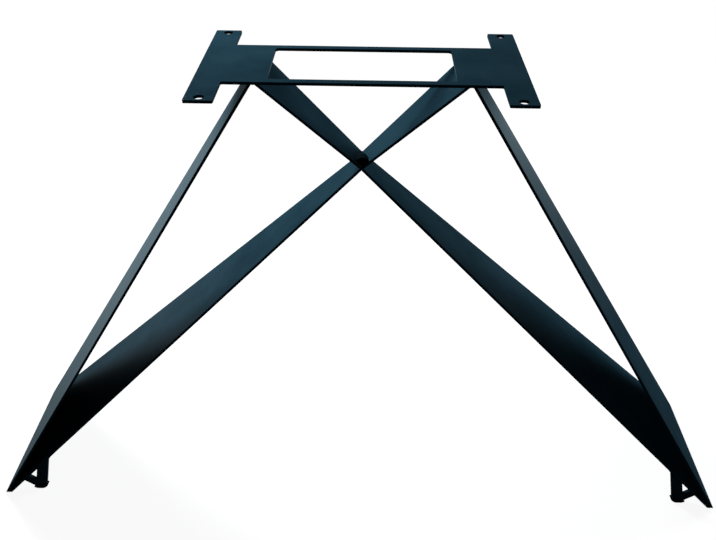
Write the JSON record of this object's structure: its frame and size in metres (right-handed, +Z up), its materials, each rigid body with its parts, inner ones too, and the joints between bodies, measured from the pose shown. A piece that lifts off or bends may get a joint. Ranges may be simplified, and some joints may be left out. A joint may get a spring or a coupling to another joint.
{
  "type": "x shaped table leg",
  "caption": "Welded flat-steel table leg: drilled top plate on leaning outer bars and crossing diagonals that form an X, with small heels and plastic glides at the feet.",
  "frame": {"origin": "on the floor, below the middle of the plate", "axes": "+X along the span from foot to foot, +Y along the depth away from the viewer, +Z up"},
  "size_m": [1.196, 0.25, 0.72],
  "materials": {
    "black_coat": "satin black powder coat with a faint blue-green cast",
    "weld_coat": "the same coat over a rippled weld bead",
    "glide_plastic": "matt black plastic"
  },
  "bodies": {
    "root": {"top_plate": "black_coat", "outer_bar_left": "black_coat", "outer_bar_right": "black_coat", "diagonal_left": "black_coat", "diagonal_right": "black_coat", "crossing_welds": "weld_coat", "heel_front_right": "black_coat", "heel_front_left": "black_coat", "heel_back_right": "black_coat", "heel_back_left": "black_coat", "glide_front_right": "glide_plastic", "glide_front_left": "glide_plastic", "glide_back_right": "glide_plastic", "glide_back_left": "glide_plastic"}
  },
  "joints": []
}
